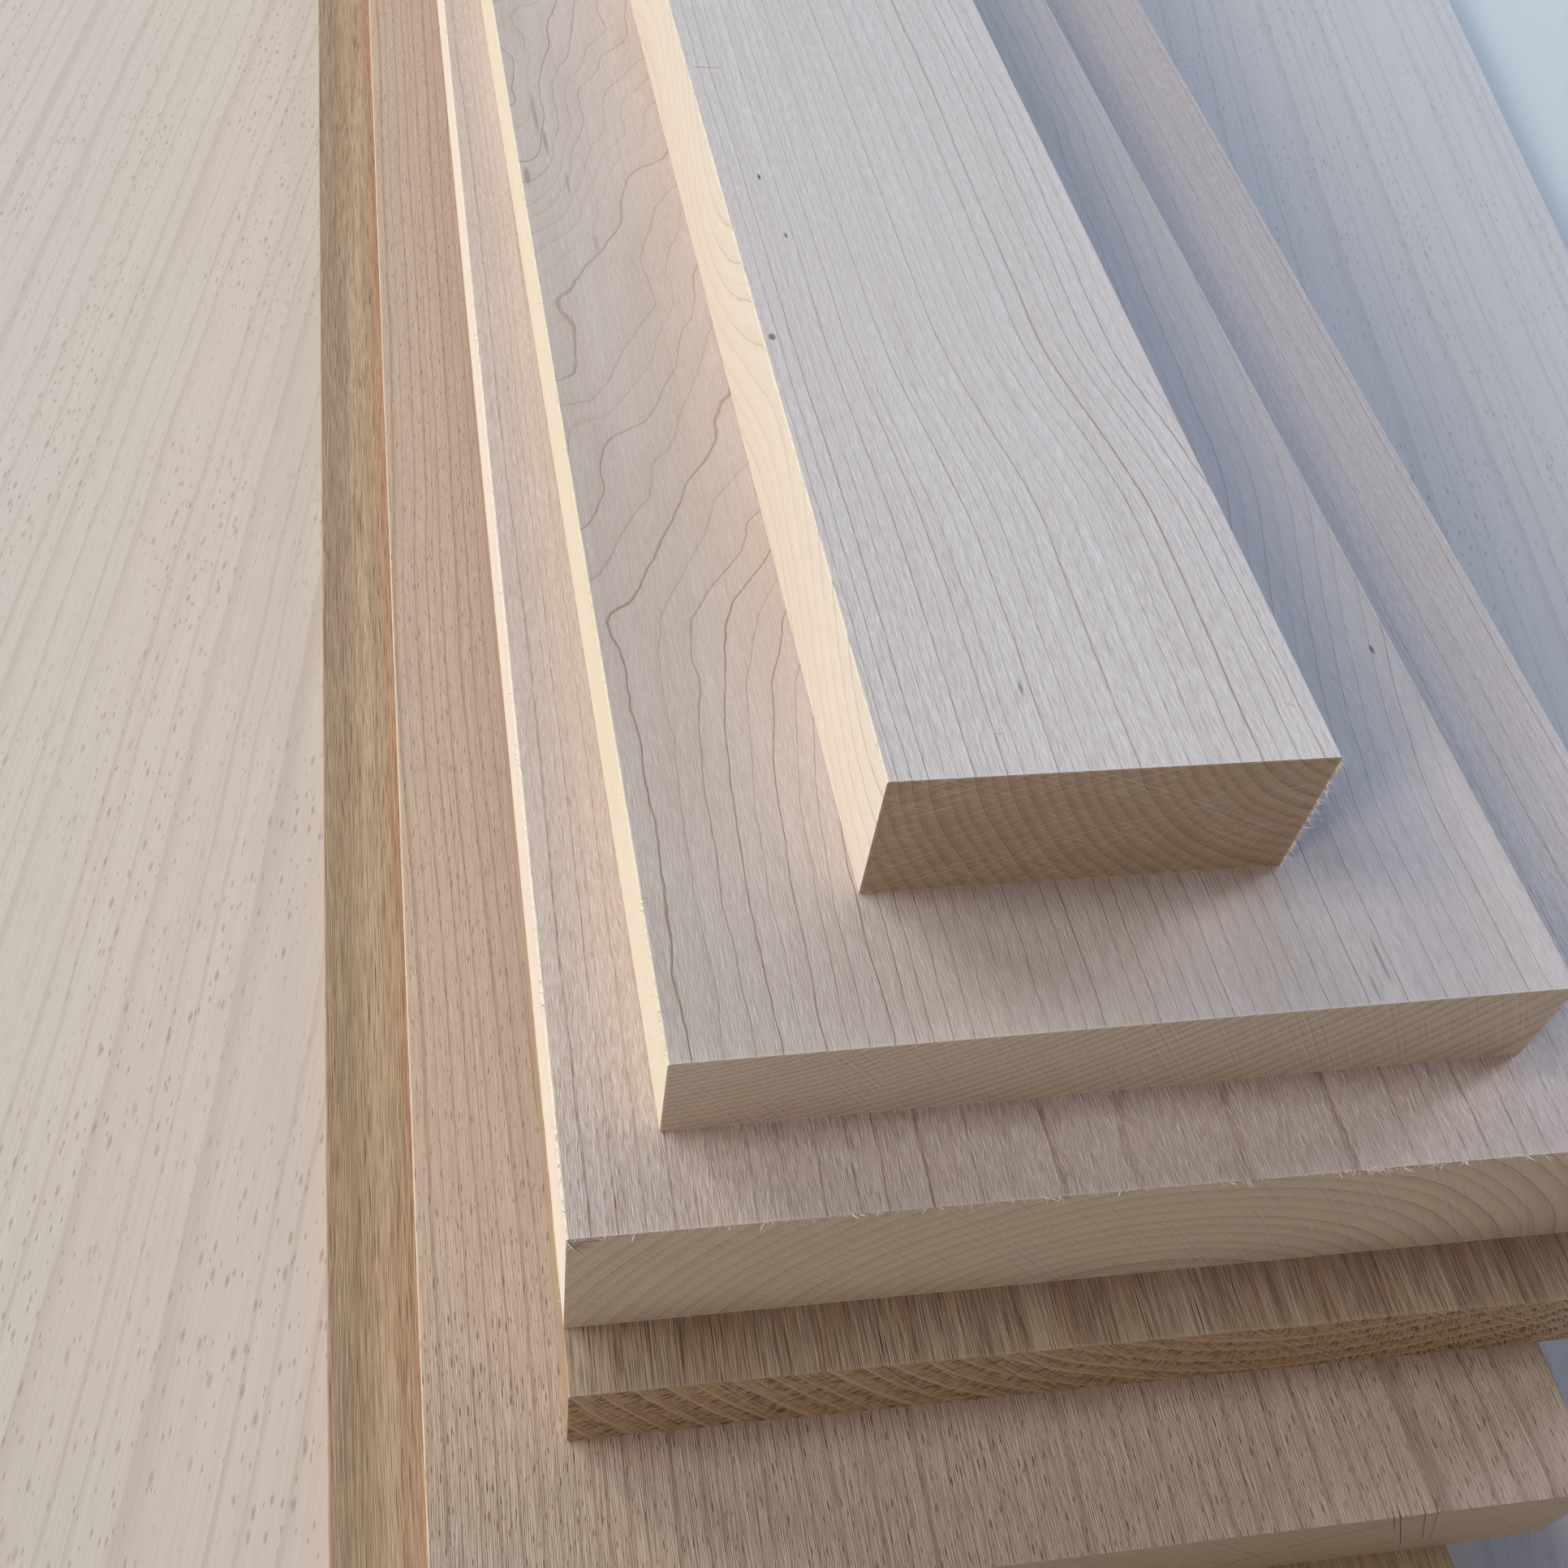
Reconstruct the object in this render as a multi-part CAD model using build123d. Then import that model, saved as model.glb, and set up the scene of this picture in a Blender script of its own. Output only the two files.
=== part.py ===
"""Stack of planed hardwood boards lying on a plywood sheet.

The sheet lies on the floor, turned away from the boards, and carries six boards laid flat on one
another. Going up, each board is set back from the front end of the one below, so that the stack
climbs in steps, and the upper boards are narrower.

Millimetres. +Z is up and +Y runs along the boards, away from the stepped front ends. The origin is
on the floor, under the middle of the sheet. A board's place is given by its front left corner: how
far it is in from the left edge and back from the front end of the board below. Turns are seen from
above, in degrees, and are negative where the far end swings to the right.
"""
from build123d import *
from math import radians, tan
import os

board_length = 1000.0
board_arris = 0.4        # the plane leaves the long edges just broken

# Bottom sheet, a sold size
sheet_width = 600.0
sheet_length = 1200.0
sheet_thickness = 18.0
sheet_turn = -10.4
sheet_arris = 0.3

# Lower oak board. Its place is measured from the middle of the sheet
oak_lower_width = 200.0
oak_lower_thickness = 20.0
oak_lower_left = -161.5
oak_lower_front = -534.4
oak_lower_turn = -1.08

beech_width = 200.7
beech_thickness = 23.5
beech_step_in = 18.1
beech_step_back = 26.1
beech_turn = -1.17
beech_out_of_square = 0.18      # the saw left the right corner of the end this many degrees back

oak_upper_width = 200.0
oak_upper_thickness = 19.6
oak_upper_step_in = 23.9
oak_upper_step_back = 28.1
oak_upper_turn = -1.01
oak_upper_out_of_square = -0.17

maple_low_width = 199.2
maple_low_thickness = 31.4
maple_low_step_in = 0.4
maple_low_step_back = 11.5
maple_low_turn = -0.86

maple_middle_width = 144.1
maple_middle_thickness = 18.8
maple_middle_step_in = 15.8
maple_middle_step_back = 16.3
maple_middle_turn = 0.08

maple_top_width = 70.1
maple_top_thickness = 25.4
maple_top_step_in = 33.6
maple_top_step_back = 28.0

# Drying checks, the cracks that open in an end face as the wood dries
check_mouth = 0.2        # how wide a check is open at the end face
check_reach = 4.0        # how far it runs into the board
check_depth_limit = 0.9  # a check stops short of the underside, at this share of the thickness

# A thin chip has split loose at the low maple board's front left corner
chip_thickness = 1.1
chip_width = 6.5
chip_length = 5.0
chip_gap = 0.3           # how far the chip has lifted


def sawn_board(width, thickness, out_of_square=0.0):
    """A planed board, its front left lower corner at the origin and its long edges just broken."""
    with BuildPart() as board:
        with BuildSketch():
            Polygon((0, 0), (width, width * tan(radians(out_of_square))),
                    (width, board_length), (0, board_length), align=None)
        extrude(amount=thickness)
        fillet(board.edges().filter_by(Axis.Y), radius=min(board_arris, thickness / 4))
    return board.part


def drying_check(from_left, lean, depth, thickness):
    """The gap of one check: widest at the end face, and closing to an edge inside the board.

    It opens in the top face, so far from the left edge, and runs down the end face for the given
    depth, leaning by the given degrees.
    """
    depth = min(depth, check_depth_limit * thickness)
    half = check_mouth / 2
    with BuildPart() as gap:
        with BuildSketch(Plane.XY.offset(-depth)):
            Polygon((-half, -1), (half, -1), (half, 0), (0, check_reach), (-half, 0), align=None)
        extrude(amount=depth + 1)
    return Pos(from_left, 0, thickness) * Rot(0, lean, 0) * gap.part


oak_lower = sawn_board(oak_lower_width, oak_lower_thickness)

# Checks lean side by side near the right corner of the beech board, in line with its rays
beech = sawn_board(beech_width, beech_thickness, beech_out_of_square)
for from_right, lean, depth in ((39.6, -25, 9), (38.4, -25, 21), (33.8, -24, 18), (31.5, -22, 21)):
    beech -= drying_check(beech_width - from_right, lean, depth, beech_thickness)

oak_upper = sawn_board(oak_upper_width, oak_upper_thickness, oak_upper_out_of_square)

# The split under the chip at the low maple board's corner is open on the end and on the left edge
maple_low = sawn_board(maple_low_width, maple_low_thickness)
with BuildPart() as split:
    with BuildSketch():
        Polygon((-1, -1), (chip_width, -1), (-1, chip_length), align=None)
    extrude(amount=chip_gap)
maple_low -= Pos(0, 0, maple_low_thickness - chip_thickness - chip_gap) * split.part

maple_middle = sawn_board(maple_middle_width, maple_middle_thickness)
maple_top = sawn_board(maple_top_width, maple_top_thickness)

with BuildPart() as sheet_part:
    Box(sheet_width, sheet_length, sheet_thickness, align=(Align.CENTER, Align.CENTER, Align.MIN))
    fillet(sheet_part.edges(), radius=min(sheet_arris, sheet_thickness / 4))
sheet = Rot(0, 0, sheet_turn) * sheet_part.part

# From the sheet up: name, board, thickness, step in, step back, turn
stack = (
    ("oak_board_lower", oak_lower, oak_lower_thickness, oak_lower_left, oak_lower_front, oak_lower_turn),
    ("beech_board", beech, beech_thickness, beech_step_in, beech_step_back, beech_turn),
    ("oak_board_upper", oak_upper, oak_upper_thickness, oak_upper_step_in, oak_upper_step_back,
     oak_upper_turn),
    ("maple_board_low", maple_low, maple_low_thickness, maple_low_step_in, maple_low_step_back,
     maple_low_turn),
    ("maple_board_middle", maple_middle, maple_middle_thickness, maple_middle_step_in,
     maple_middle_step_back, maple_middle_turn),
    ("maple_board_top", maple_top, maple_top_thickness, maple_top_step_in, maple_top_step_back, 0),
)

os.makedirs("parts", exist_ok=True)
export_step(sheet, "parts/plywood_sheet.step")

left, front, level = 0.0, 0.0, sheet_thickness
for name, board, thickness, step_in, step_back, turn in stack:
    left += step_in
    front += step_back
    export_step(Pos(left, front, level) * Rot(0, 0, turn) * board, f"parts/{name}.step")
    level += thickness
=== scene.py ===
import random
from math import radians

import bpy
from mathutils import Matrix, Vector


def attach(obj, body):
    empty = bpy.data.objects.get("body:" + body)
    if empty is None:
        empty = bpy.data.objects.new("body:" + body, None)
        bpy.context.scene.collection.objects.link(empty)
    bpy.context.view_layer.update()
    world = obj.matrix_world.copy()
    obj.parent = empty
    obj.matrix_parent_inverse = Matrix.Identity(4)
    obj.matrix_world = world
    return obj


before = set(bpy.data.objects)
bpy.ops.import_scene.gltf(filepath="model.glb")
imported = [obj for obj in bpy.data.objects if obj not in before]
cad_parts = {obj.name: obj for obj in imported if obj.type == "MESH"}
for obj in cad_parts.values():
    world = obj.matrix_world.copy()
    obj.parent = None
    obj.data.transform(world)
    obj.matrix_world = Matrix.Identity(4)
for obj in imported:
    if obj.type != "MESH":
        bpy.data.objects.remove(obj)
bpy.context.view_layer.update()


# The plywood sheet lies on the floor under the boards, turned away from them. Its faces are
# rotary-cut beech, sanded, with the dark ray flecks close together, and its edges show the
# glued layers. It is cut from a bigger sheet with a circular saw.

MM = 0.001


def put(tree, socket, value):
    """Links a socket to the output of another node, or gives it a plain value."""
    if isinstance(value, bpy.types.NodeSocket):
        tree.links.new(value, socket)
    else:
        socket.default_value = value


def calc(tree, operation, *values):
    """One step of arithmetic on numbers or sockets."""
    node = tree.nodes.new("ShaderNodeMath")
    node.operation = operation
    for socket, value in zip(node.inputs, values):
        put(tree, socket, value)
    return node.outputs[0]


def calc3(tree, operation, *values):
    """One step of arithmetic on places."""
    node = tree.nodes.new("ShaderNodeVectorMath")
    node.operation = operation
    for socket, value in zip(node.inputs, values):
        put(tree, socket, value)
    return node.outputs["Value" if operation in ("LENGTH", "DOT_PRODUCT") else "Vector"]


def stretch(tree, place, amount):
    """A place times a number."""
    node = tree.nodes.new("ShaderNodeVectorMath")
    node.operation = "SCALE"
    put(tree, node.inputs[0], place)
    put(tree, node.inputs["Scale"], amount)
    return node.outputs["Vector"]


def parts(tree, place):
    """The three numbers of a place: across, along and up."""
    node = tree.nodes.new("ShaderNodeSeparateXYZ")
    put(tree, node.inputs[0], place)
    return node.outputs[0], node.outputs[1], node.outputs[2]


def whole(tree, across, along, up):
    """A place from its three numbers."""
    node = tree.nodes.new("ShaderNodeCombineXYZ")
    for socket, value in zip(node.inputs, (across, along, up)):
        put(tree, socket, value)
    return node.outputs[0]


def ease(tree, value, low, high, at_low=0.0, at_high=1.0):
    """Goes smoothly from one level to another while the value goes from low to high."""
    node = tree.nodes.new("ShaderNodeMapRange")
    node.interpolation_type = "SMOOTHSTEP"
    for socket, number in zip(node.inputs, (value, low, high, at_low, at_high)):
        put(tree, socket, number)
    return node.outputs[0]


def band(tree, value, low, full, fading, gone):
    """Rises smoothly from 0 to 1 and falls back to 0, at the given levels of a value."""
    rise = ease(tree, value, low, full)
    return calc(tree, "MULTIPLY", rise, ease(tree, value, fading, gone, 1.0, 0.0))


def cloud(tree, place, size, detail=2.0, rough=0.5, colour=False):
    """Smooth random shading whose lumps have the given size in metres each way."""
    node = tree.nodes.new("ShaderNodeTexNoise")
    node.inputs["Scale"].default_value = 1.0
    node.inputs["Detail"].default_value = detail
    node.inputs["Roughness"].default_value = rough
    put(tree, node.inputs["Vector"], calc3(tree, "DIVIDE", place, size))
    return node.outputs["Color" if colour else "Fac"]


def tint(tree, amount, under, over):
    """Lays one colour over another, as far as the amount says."""
    node = tree.nodes.new("ShaderNodeMix")
    node.data_type = "RGBA"
    put(tree, node.inputs[0], amount)
    put(tree, node.inputs[6], under)
    put(tree, node.inputs[7], over)
    return node.outputs[2]


def new_group(name, inputs, outputs):
    """Starts a node group with named sockets. Gives its tree, its inputs and its outputs."""
    tree = bpy.data.node_groups.new(name, "ShaderNodeTree")
    for label, start in inputs:
        kind = "NodeSocketVector" if isinstance(start, tuple) else "NodeSocketFloat"
        tree.interface.new_socket(label, in_out="INPUT", socket_type=kind).default_value = start
    for label, kind in outputs:
        tree.interface.new_socket(label, in_out="OUTPUT", socket_type="NodeSocket" + kind)
    return tree, tree.nodes.new("NodeGroupInput").outputs, tree.nodes.new("NodeGroupOutput").inputs


def use(tree, group, **values):
    """Places a node group in a material. Its socket names are written with underscores."""
    node = tree.nodes.new("ShaderNodeGroup")
    node.node_tree = group
    for label, value in values.items():
        put(tree, node.inputs[label.replace("_", " ")], value)
    return node.outputs


def build_growth_rings():
    """Yearly rings round the tree's pith, which wander a little along the board.

    Ring Width holds at the board's lower left corner, and Widening is how much it grows outwards.
    Phase goes from 0 to 1 through each year's wood, Year is a random level for each ring, and
    Polar is the place measured round the pith, along it and away from it.
    """
    tree, given, out = new_group(
        "growth_rings",
        (("Place", (0, 0, 0)), ("Pith", (0, 0, 0)), ("Lean", (0, 0, 0)), ("Ring Width", 0.003),
         ("Wander", 0.002), ("Wander Size", (0.05, 0.3, 0.05)), ("Ripple", 0.0003),
         ("Ripple Size", (0.01, 0.03, 0.01)), ("Uneven", 0.6), ("Widening", 0.001)),
        (("Phase", "Float"), ("Year", "Float"), ("Polar", "Vector")))
    place = given["Place"]
    along = parts(tree, place)[1]
    around = calc3(tree, "SUBTRACT", place, given["Pith"])
    around = calc3(tree, "SUBTRACT", around, stretch(tree, given["Lean"], along))
    for reach, size, detail in (("Wander", "Wander Size", 1.0), ("Ripple", "Ripple Size", 2.0)):
        lumps = cloud(tree, place, given[size], detail, colour=True)
        push = calc3(tree, "SUBTRACT", lumps, (0.5, 0.5, 0.5))
        push = stretch(tree, push, calc(tree, "MULTIPLY", given[reach], 4.0))
        around = calc3(tree, "ADD", around, push)
    across, _, up = parts(tree, around)
    radius = calc3(tree, "LENGTH", whole(tree, across, 0.0, up))
    corner_radius = calc3(tree, "LENGTH", given["Pith"])
    beyond = calc(tree, "SUBTRACT", radius, corner_radius)
    beyond = calc(tree, "DIVIDE", beyond, given["Ring Width"])
    grown = calc(tree, "MULTIPLY_ADD", beyond, given["Widening"], 1.0)
    natural_base = 2.71828
    years = calc(tree, "DIVIDE", calc(tree, "LOGARITHM", grown, natural_base), given["Widening"])
    seasons = tree.nodes.new("ShaderNodeTexNoise")
    seasons.noise_dimensions = "1D"
    seasons.inputs["Scale"].default_value = 0.45
    seasons.inputs["Detail"].default_value = 1.0
    tree.links.new(years, seasons.inputs["W"])
    faster = calc(tree, "MULTIPLY", calc(tree, "SUBTRACT", seasons.outputs["Fac"], 0.5), 4.0)
    years = calc(tree, "MULTIPLY_ADD", faster, given["Uneven"], years)
    level = tree.nodes.new("ShaderNodeTexWhiteNoise")
    level.noise_dimensions = "1D"
    tree.links.new(calc(tree, "FLOOR", years), level.inputs["W"])
    angle = calc(tree, "ARCTAN2", across, up)
    tree.links.new(calc(tree, "FRACT", years), out["Phase"])
    tree.links.new(level.outputs["Value"], out["Year"])
    around = calc(tree, "MULTIPLY", angle, corner_radius)
    tree.links.new(whole(tree, around, along, radius), out["Polar"])
    return tree


def build_flecks():
    """Short marks of one size, scattered over the first two measures of a place: rays or pores."""
    tree, given, out = new_group(
        "flecks",
        (("Place", (0, 0, 0)), ("Size", (0.001, 0.003, 1)), ("Amount", 0.4), ("Blur", 0.5)),
        (("Mask", "Float"),))
    cells = tree.nodes.new("ShaderNodeTexVoronoi")
    cells.voronoi_dimensions = "2D"
    cells.inputs["Scale"].default_value = 1.0
    tree.links.new(calc3(tree, "DIVIDE", given["Place"], given["Size"]), cells.inputs["Vector"])
    chance = parts(tree, cells.outputs["Color"])[0]
    radius = calc(tree, "MULTIPLY", given["Amount"], calc(tree, "MULTIPLY_ADD", chance, 0.9, 0.25))
    inner = calc(tree, "MULTIPLY", radius, calc(tree, "SUBTRACT", 1.0, given["Blur"]))
    tree.links.new(ease(tree, cells.outputs["Distance"], inner, radius, 1.0, 0.0), out["Mask"])
    return tree


def build_fibres():
    """The streaks of the fibres: long along the board, and only dots on its sawn ends."""
    tree, given, out = new_group(
        "fibres", (("Place", (0, 0, 0)), ("Size", (0.0004, 0.012, 0.0004)), ("Contrast", 1.0)),
        (("Streak", "Float"),))
    lumps = cloud(tree, given["Place"], (0.02, 0.06, 0.02), 1.0, colour=True)
    bent = stretch(tree, calc3(tree, "SUBTRACT", lumps, (0.5, 0.5, 0.5)), 0.002)
    grain = cloud(tree, calc3(tree, "ADD", given["Place"], bent), given["Size"], 3.0, 0.6)
    grain = calc(tree, "SUBTRACT", grain, 0.5)
    tree.links.new(calc(tree, "MULTIPLY", grain, given["Contrast"]), out["Streak"])
    return tree


def build_edge_wear():
    """1 at the edges of a piece of the given size, and 0 away from them."""
    tree, given, out = new_group(
        "edge_wear", (("Place", (0, 0, 0)), ("Piece", (0.2, 1.0, 0.02)), ("Reach", 0.0008)),
        (("Edge", "Float"),))
    lows = parts(tree, given["Place"])
    highs = parts(tree, calc3(tree, "SUBTRACT", given["Piece"], given["Place"]))
    a, b, c = (calc(tree, "MINIMUM", low, high) for low, high in zip(lows, highs))
    # An edge is as far away as the second nearest of the faces
    second = calc(tree, "MAXIMUM", calc(tree, "MINIMUM", a, b),
                  calc(tree, "MINIMUM", calc(tree, "MAXIMUM", a, b), c))
    uneven = cloud(tree, given["Place"], (0.0012, 0.004, 0.0012), 2.0, 0.6)
    near = calc(tree, "MULTIPLY", given["Reach"], calc(tree, "MULTIPLY", uneven, 2.0))
    tree.links.new(ease(tree, second, 0.0, near, 1.0, 0.0), out["Edge"])
    return tree


growth_rings = build_growth_rings()
flecks = build_flecks()
fibres = build_fibres()
edge_wear = build_edge_wear()


def new_wood(name, corner, turn):
    """Starts a wood material. Gives it, its tree, its shader, the place in the board's own frame,
    which starts at its front left lower corner, and how far a face points across, along and up."""
    material = bpy.data.materials.new(name)
    material.use_nodes = True
    tree = material.node_tree
    coords = tree.nodes.new("ShaderNodeTexCoord")
    own = tree.nodes.new("ShaderNodeMapping")
    own.vector_type = "TEXTURE"
    own.inputs["Location"].default_value = corner
    own.inputs["Rotation"].default_value = (0, 0, radians(turn))
    tree.links.new(coords.outputs["Object"], own.inputs["Vector"])
    facing = tree.nodes.new("ShaderNodeMapping")
    facing.vector_type = "TEXTURE"
    facing.inputs["Rotation"].default_value = (0, 0, radians(turn))
    tree.links.new(coords.outputs["Normal"], facing.inputs["Vector"])
    shader = tree.nodes["Principled BSDF"]
    return material, tree, shader, own.outputs[0], parts(tree, facing.outputs[0])


def flat(tree, place):
    """The place on a board's faces or edges as two measures: round the board, and along it."""
    across, along, up = parts(tree, place)
    return whole(tree, calc(tree, "ADD", across, up), along, 0.0)


def finish_wood(tree, shader, colour, roughness, height, depth):
    """Joins the colour, the roughness and the relief, in metres, to the shader."""
    put(tree, shader.inputs["Base Color"], colour)
    put(tree, shader.inputs["Roughness"], roughness)
    shader.inputs["Specular IOR Level"].default_value = 0.3
    bump = tree.nodes.new("ShaderNodeBump")
    bump.inputs["Distance"].default_value = depth
    tree.links.new(height, bump.inputs["Height"])
    tree.links.new(bump.outputs["Normal"], shader.inputs["Normal"])


def dress(node, material):
    """Gives a piece of the frame its finish."""
    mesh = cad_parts[node].data
    mesh.materials.clear()
    mesh.materials.append(material)


sheet_size = (600 * MM, 1200 * MM, 18 * MM)
sheet_turn = -10.4
sheet_layers = 13
sheet_half = Vector((sheet_size[0] / 2, sheet_size[1] / 2))
sheet_half = Matrix.Rotation(radians(sheet_turn), 2) @ sheet_half
sheet_corner = (-sheet_half.x, -sheet_half.y, 0)
wood, tree, shader, place, (_, _, up) = new_wood("beech_plywood", sheet_corner, sheet_turn)
streak = use(tree, fibres, Place=place, Size=(0.0007, 0.05, 0.0007), Contrast=1.4)["Streak"]
wide = use(tree, fibres, Place=place, Size=(0.005, 0.35, 0.005), Contrast=1.0)["Streak"]
coarse = use(tree, flecks, Place=flat(tree, place), Size=(0.0034, 0.0130, 1), Amount=0.18, Blur=0.8)
small = use(tree, flecks, Place=flat(tree, place), Size=(0.0022, 0.0085, 1), Amount=0.16, Blur=0.8)
rings = use(tree, growth_rings, Place=place, Pith=(350 * MM, 0, -260 * MM), Ring_Width=0.0045,
            Wander=0.004, Wander_Size=(0.15, 0.6, 0.15), Ripple=0.0003,
            Ripple_Size=(0.012, 0.04, 0.012), Uneven=0.6)
late = band(tree, rings["Phase"], 0.72, 0.95, 0.96, 1.0)
patches = ease(tree, cloud(tree, place, (0.025, 0.08, 0.025), 2.0), 0.38, 0.62, 0.25, 1.0)
mark = calc(tree, "MULTIPLY", calc(tree, "MAXIMUM", coarse["Mask"], small["Mask"]), patches)
face = tint(tree, calc(tree, "ADD", wide, 0.5), (0.60, 0.51, 0.455, 1), (0.67, 0.59, 0.53, 1))
face = tint(tree, calc(tree, "MULTIPLY", late, 0.28), face, (0.40, 0.31, 0.25, 1))
face = tint(tree, calc(tree, "MULTIPLY_ADD", streak, 0.6, 0.04), face, (0.47, 0.38, 0.31, 1))
face = tint(tree, calc(tree, "MULTIPLY", mark, 0.5), face, (0.31, 0.20, 0.14, 1))
height = parts(tree, place)[2]
layer = calc(tree, "PINGPONG", calc(tree, "DIVIDE", height, sheet_size[2] / sheet_layers), 1.0)
layer_tone = tint(tree, ease(tree, layer, 0.4, 0.6), (0.50, 0.38, 0.26, 1), (0.24, 0.15, 0.09, 1))
edge_face = ease(tree, calc(tree, "ABSOLUTE", up), 0.5, 0.9, 1.0, 0.0)
colour = tint(tree, edge_face, face, layer_tone)
finish_wood(tree, shader, colour, 0.6, calc(tree, "SUBTRACT", streak, mark), 0.00003)
dress("plywood_sheet", wood)


# The lower oak board lies on the sheet. It is planed red oak, ring-porous: each year starts
# with a band of coarse pores, long on the faces and in rows of dark dashes on the sawn end.

def build_saw_marks():
    """The fine scratches that a round saw blade leaves on a board's end: arcs round the blade's
    middle, some deeper than others and none of them visible all the way."""
    tree, given, out = new_group(
        "saw_marks", (("Place", (0, 0, 0)), ("Blade", (0, 0, 0)), ("Gap", 0.0006)),
        (("Scratch", "Float"), ("Groove", "Float")))
    across, _, up = parts(tree, calc3(tree, "SUBTRACT", given["Place"], given["Blade"]))
    radius = calc3(tree, "LENGTH", whole(tree, across, 0.0, up))
    lines = tree.nodes.new("ShaderNodeTexNoise")
    lines.noise_dimensions = "1D"
    lines.inputs["Scale"].default_value = 1.0
    lines.inputs["Detail"].default_value = 2.0
    tree.links.new(calc(tree, "DIVIDE", radius, given["Gap"]), lines.inputs["W"])
    patches = cloud(tree, given["Place"], (0.009, 0.009, 0.009), 3.0)
    seen = ease(tree, patches, 0.35, 0.65, 0.15, 1.0)
    deep = ease(tree, lines.outputs["Fac"], 0.52, 0.68)
    tree.links.new(calc(tree, "MULTIPLY", deep, seen), out["Scratch"])
    low = ease(tree, lines.outputs["Fac"], 0.34, 0.46, 1.0, 0.0)
    tree.links.new(calc(tree, "MULTIPLY", low, seen), out["Groove"])
    return tree


saw_marks = build_saw_marks()


def sawn_end(tree, along):
    """1 on a board's sawn ends and 0 on its faces, by how far the surface points along it."""
    return ease(tree, calc(tree, "ABSOLUTE", along), 0.6, 0.9)


def oak_wood(name, corner, turn, size, pith, lean, ring, light, dark, red, pore, end, stripes_and_painted_glow=()):
    """Planed oak with its pores and its sawn ends. Its colours are those of light, dark and reddish
    wood, of the pores and of the ends. A stripe is a band along the board, either a plain band of
    tone or painted light; each is how far from the left it runs, half its width, its colour and its
    strength."""
    wood, tree, shader, place, (_, along, _) = new_wood(name, corner, turn)
    rings = use(tree, growth_rings, Place=place, Pith=pith, Lean=lean, Ring_Width=ring,
                Wander=0.0022, Wander_Size=(0.08, 0.35, 0.08), Ripple=0.0003,
                Ripple_Size=(0.012, 0.04, 0.012), Uneven=0.35)
    phase = rings["Phase"]
    early = band(tree, phase, 0.0, 0.06, 0.38, 0.55)
    streak = use(tree, fibres, Place=place, Size=(0.0002, 0.010, 0.0002), Contrast=2.8)["Streak"]
    long = use(tree, fibres, Place=place, Size=(0.0007, 0.06, 0.0007), Contrast=2.0)["Streak"]
    wide = use(tree, fibres, Place=place, Size=(0.004, 0.2, 0.004), Contrast=1.6)["Streak"]
    elsewhere = calc3(tree, "ADD", place, (3, 1, 2))
    warm = use(tree, fibres, Place=elsewhere, Size=(0.003, 0.06, 0.003), Contrast=1.6)["Streak"]
    pores = use(tree, flecks, Place=flat(tree, place), Size=(0.0007, 0.02, 1), Amount=0.24,
                Blur=0.6)["Mask"]
    pores = calc(tree, "MULTIPLY", pores, calc(tree, "MULTIPLY_ADD", early, 0.85, 0.15))
    angle, _, radius = parts(tree, rings["Polar"])
    section = whole(tree, angle, radius, 0.0)
    dashes = use(tree, flecks, Place=section, Size=(0.0008, 0.0032, 1), Amount=0.5,
                 Blur=0.35)["Mask"]
    dashes = calc(tree, "MULTIPLY", dashes, calc(tree, "MULTIPLY_ADD", early, 0.5, 0.5))
    sawn = sawn_end(tree, along)
    shade = calc(tree, "MULTIPLY_ADD", rings["Year"], 0.3, wide)
    face = tint(tree, ease(tree, shade, -0.3, 0.7), light, dark)
    face = tint(tree, calc(tree, "MULTIPLY", early, 0.15), face, dark)
    face = tint(tree, calc(tree, "ADD", warm, 0.15), face, red)
    # Stripes along the board: plain bands of tone, or painted light where warm light is thrown back
    # onto the board beside a lit edge.
    for middle, half, stripe, strength in stripes_and_painted_glow:
        off = calc(tree, "ABSOLUTE", calc(tree, "SUBTRACT", parts(tree, place)[0], middle))
        near = calc(tree, "MULTIPLY_ADD", wide, 0.004, off)
        face = tint(tree, ease(tree, near, half * 0.4, half * 1.3, strength, 0.0), face, stripe)
    face = tint(tree, calc(tree, "MULTIPLY_ADD", streak, 1.2, 0.12), face, pore)
    face = tint(tree, calc(tree, "MULTIPLY", streak, -0.9), face, light)
    face = tint(tree, calc(tree, "MULTIPLY_ADD", long, 1.0, 0.06), face, pore)
    face = tint(tree, calc(tree, "MULTIPLY", pores, 0.6), face, pore)
    saw = use(tree, saw_marks, Place=place, Blade=(0.25, 0, 0.16), Gap=0.0006)
    ringed = tint(tree, calc(tree, "MULTIPLY", early, 0.2), end, dark)
    ringed = tint(tree, calc(tree, "MULTIPLY", dashes, 0.95), ringed, pore)
    ringed = tint(tree, calc(tree, "MULTIPLY", ease(tree, phase, 0.84, 0.93), 0.8), ringed, light)
    ringed = tint(tree, calc(tree, "MULTIPLY", saw["Scratch"], 0.6), ringed, light)
    ringed = tint(tree, calc(tree, "MULTIPLY", saw["Groove"], 0.4), ringed, pore)
    edge = use(tree, edge_wear, Place=place, Piece=size, Reach=0.0005)["Edge"]
    colour = tint(tree, sawn, face, ringed)
    colour = tint(tree, calc(tree, "MULTIPLY", edge, 0.2), colour, light)
    height = calc(tree, "SUBTRACT", streak, calc(tree, "MULTIPLY", pores, 1.5))
    height = calc(tree, "SUBTRACT", height, calc(tree, "MULTIPLY", dashes, sawn))
    finish_wood(tree, shader, colour, ease(tree, pores, 0.0, 1.0, 0.5, 0.75), height, 0.00005)
    return wood


# The reddish stripe next to the beech board's left edge is painted light: warm light thrown back
# from the beech board's lit left side. The dark stripe by the left edge and the pale stripe between
# them are plain darker and lighter bands.
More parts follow.
